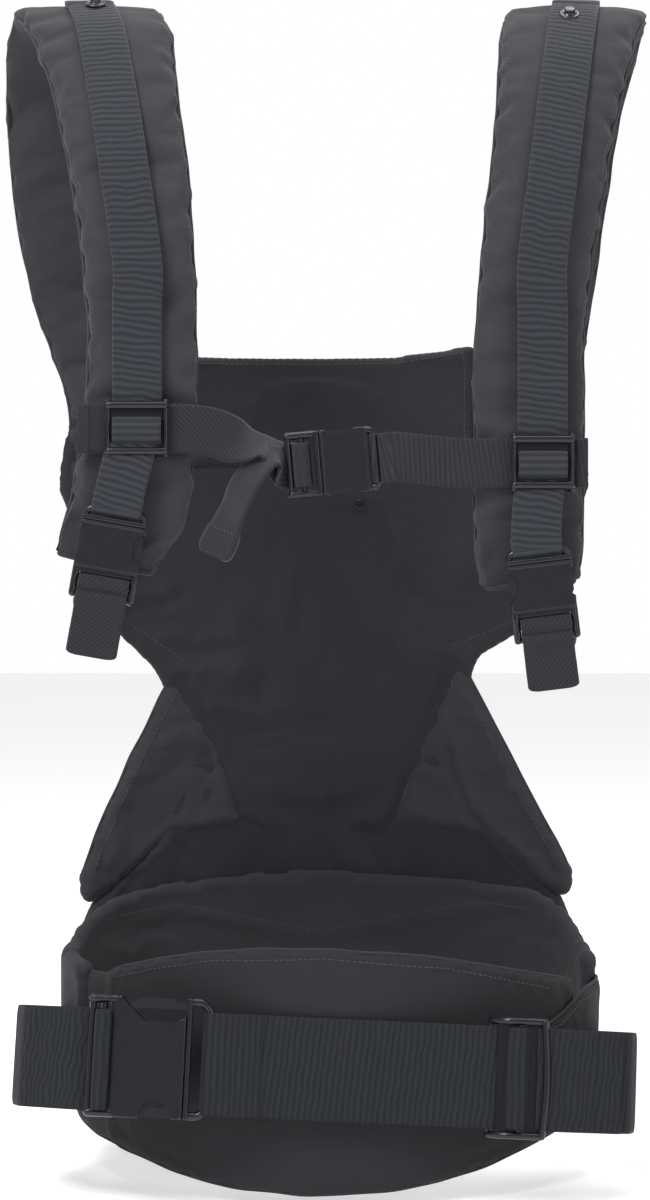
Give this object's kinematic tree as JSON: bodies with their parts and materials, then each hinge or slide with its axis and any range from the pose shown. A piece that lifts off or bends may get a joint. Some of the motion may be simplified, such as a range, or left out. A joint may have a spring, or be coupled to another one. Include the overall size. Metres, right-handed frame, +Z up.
{
  "type": "soft baby carrier",
  "caption": "Soft baby carrier with a padded waist belt, bucket seat panel, padded shoulder straps, sliding chest strap and side-release buckles.",
  "frame": {"origin": "middle of the waist loop, at the height of the belt webbing's middle", "axes": "+X to the right as seen from behind the wearer, +Y from the wearer's back towards the baby, +Z up"},
  "size_m": [0.349, 0.2534, 0.6157],
  "materials": {
    "fabric_charcoal": "matt cotton canvas",
    "fabric_lining": "matt cotton lining",
    "foam": "open-cell foam",
    "webbing_ribbed": "ribbed nylon webbing",
    "webbing_belt": "ribbed nylon webbing",
    "webbing_twill": "twill nylon webbing",
    "buckle_plastic": "satin acetal",
    "stud": "black enamel",
    "hook_and_loop": "hook and loop tape"
  },
  "bodies": {
    "carrier": {"hood_stud_left": "stud", "hood_stud_right": "stud", "hook_tape": "hook_and_loop", "left_side_insert": "buckle_plastic", "left_underarm_webbing": "webbing_twill", "loop_tape": "hook_and_loop", "panel_button": "buckle_plastic", "panel_foam": "foam", "panel_lining": "fabric_lining", "panel_outer": "fabric_charcoal", "right_side_insert": "buckle_plastic", "right_underarm_webbing": "webbing_twill", "seat_bucket": "fabric_lining", "seat_left_thigh_cover": "fabric_charcoal", "seat_left_thigh_foam": "foam", "seat_right_thigh_cover": "fabric_charcoal", "seat_right_thigh_foam": "foam", "shoulder_left_cover": "fabric_charcoal", "shoulder_left_foam": "foam", "shoulder_left_webbing": "webbing_ribbed", "shoulder_right_cover": "fabric_charcoal", "shoulder_right_foam": "foam", "shoulder_right_webbing": "webbing_ribbed", "waist_band_cover": "fabric_charcoal", "waist_band_foam": "foam", "waist_receptacle": "buckle_plastic", "waist_webbing_left": "webbing_belt", "waist_webbing_right": "webbing_belt", "waist_webbing_tail": "webbing_belt", "wrap_flap_over": "fabric_charcoal", "wrap_flap_under": "fabric_charcoal"},
    "neck_support": {"neck_support_cover": "fabric_charcoal", "neck_support_foam": "foam"},
    "chest_strap": {"chest_slider_left": "buckle_plastic", "chest_slider_right": "buckle_plastic", "chest_webbing_left": "webbing_twill", "chest_webbing_right": "webbing_twill", "chest_insert": "buckle_plastic", "chest_tail": "webbing_twill"},
    "chest_receptacle": {"chest_receptacle": "buckle_plastic"},
    "left_side_receptacle": {"left_side_receptacle": "buckle_plastic", "left_side_tail": "webbing_twill"},
    "right_side_receptacle": {"right_side_receptacle": "buckle_plastic", "right_side_tail": "webbing_twill"},
    "waist_insert": {"waist_insert": "buckle_plastic"},
    "tri_glide": {"tri_glide": "buckle_plastic"},
    "chest_prong_lower": {"chest_prong_lower": "buckle_plastic"},
    "chest_prong_upper": {"chest_prong_upper": "buckle_plastic"},
    "left_side_prong_outer": {"left_side_prong_outer": "buckle_plastic"},
    "left_side_prong_inner": {"left_side_prong_inner": "buckle_plastic"},
    "right_side_prong_inner": {"right_side_prong_inner": "buckle_plastic"},
    "right_side_prong_outer": {"right_side_prong_outer": "buckle_plastic"},
    "waist_prong_upper": {"waist_prong_upper": "buckle_plastic"},
    "waist_prong_lower": {"waist_prong_lower": "buckle_plastic"}
  },
  "joints": [
    {"name": "chest_buckle_pull", "type": "slide", "parent": "chest_strap", "child": "chest_receptacle", "axis": [0.9962, 0, 0.0872], "range_m": [0, 0.022], "deforming": ["chest_webbing_right", "chest_prong_lower", "chest_prong_upper"]},
    {"name": "chest_prong_lower_squeeze", "type": "hinge", "parent": "chest_strap", "child": "chest_prong_lower", "pos_m": [-0.00107, -0.084, 0.29003], "axis": [0, -1, 0], "range_deg": [0, 6], "stiffness_Nm_per_rad": 0.2},
    {"name": "chest_prong_upper_squeeze", "type": "hinge", "parent": "chest_strap", "child": "chest_prong_upper", "pos_m": [-0.00335, -0.084, 0.31613], "axis": [0, 1, 0], "range_deg": [0, 6], "stiffness_Nm_per_rad": 0.2},
    {"name": "left_side_buckle_pull", "type": "slide", "parent": "carrier", "child": "left_side_receptacle", "axis": [-0.1736, 0, -0.9848], "range_m": [0, 0.022], "deforming": ["left_underarm_webbing", "left_side_prong_outer", "left_side_prong_inner"]},
    {"name": "left_side_prong_outer_squeeze", "type": "hinge", "parent": "carrier", "child": "left_side_prong_outer", "pos_m": [-0.11918, -0.088, 0.27471], "axis": [0, -1, 0], "range_deg": [0, 6], "stiffness_Nm_per_rad": 0.2},
    {"name": "left_side_prong_inner_squeeze", "type": "hinge", "parent": "carrier", "child": "left_side_prong_inner", "pos_m": [-0.09338, -0.088, 0.27016], "axis": [0, 1, 0], "range_deg": [0, 6], "stiffness_Nm_per_rad": 0.2},
    {"name": "right_side_buckle_pull", "type": "slide", "parent": "carrier", "child": "right_side_receptacle", "axis": [0.1219, 0, -0.9925], "range_m": [0, 0.022], "deforming": ["right_underarm_webbing", "right_side_prong_inner", "right_side_prong_outer"]},
    {"name": "right_side_prong_inner_squeeze", "type": "hinge", "parent": "carrier", "child": "right_side_prong_inner", "pos_m": [0.09463, -0.088, 0.25102], "axis": [0, -1, 0], "range_deg": [0, 6], "stiffness_Nm_per_rad": 0.2},
    {"name": "right_side_prong_outer_squeeze", "type": "hinge", "parent": "carrier", "child": "right_side_prong_outer", "pos_m": [0.12064, -0.088, 0.25422], "axis": [0, 1, 0], "range_deg": [0, 6], "stiffness_Nm_per_rad": 0.2},
    {"name": "waist_buckle_pull", "type": "slide", "parent": "carrier", "child": "waist_insert", "axis": [0.999, -0.0069, -0.0448], "range_m": [0, 0.032], "deforming": ["waist_webbing_right", "waist_prong_upper", "waist_prong_lower"]},
    {"name": "waist_prong_upper_squeeze", "type": "hinge", "parent": "waist_insert", "child": "waist_prong_upper", "pos_m": [-0.06738, -0.12029, 0.03363], "axis": [0, -0.9882, 0.153], "range_deg": [0, 6], "stiffness_Nm_per_rad": 0.2},
    {"name": "waist_prong_lower_squeeze", "type": "hinge", "parent": "waist_insert", "child": "waist_prong_lower", "pos_m": [-0.06969, -0.12807, -0.01661], "axis": [0, 0.9882, -0.153], "range_deg": [0, 6], "stiffness_Nm_per_rad": 0.2},
    {"name": "chest_strap_slide", "type": "slide", "parent": "carrier", "child": "chest_strap", "axis": [0, 0, 1], "range_m": [0, 0.07]},
    {"name": "tri_glide_slide", "type": "slide", "parent": "carrier", "child": "tri_glide", "axis": [-0.999, 0.0069, 0.0448], "range_m": [0, 0.055]},
    {"name": "neck_support_fold", "type": "hinge", "parent": "carrier", "child": "neck_support", "pos_m": [0, 0.121, 0.318], "axis": [-1, 0, 0], "range_deg": [0, 150]}
  ],
  "couplings": [
    {"joint": "chest_prong_upper_squeeze", "follows": "chest_prong_lower_squeeze", "ratio": 1},
    {"joint": "left_side_prong_inner_squeeze", "follows": "left_side_prong_outer_squeeze", "ratio": 1},
    {"joint": "right_side_prong_outer_squeeze", "follows": "right_side_prong_inner_squeeze", "ratio": 1},
    {"joint": "waist_prong_lower_squeeze", "follows": "waist_prong_upper_squeeze", "ratio": 1}
  ]
}
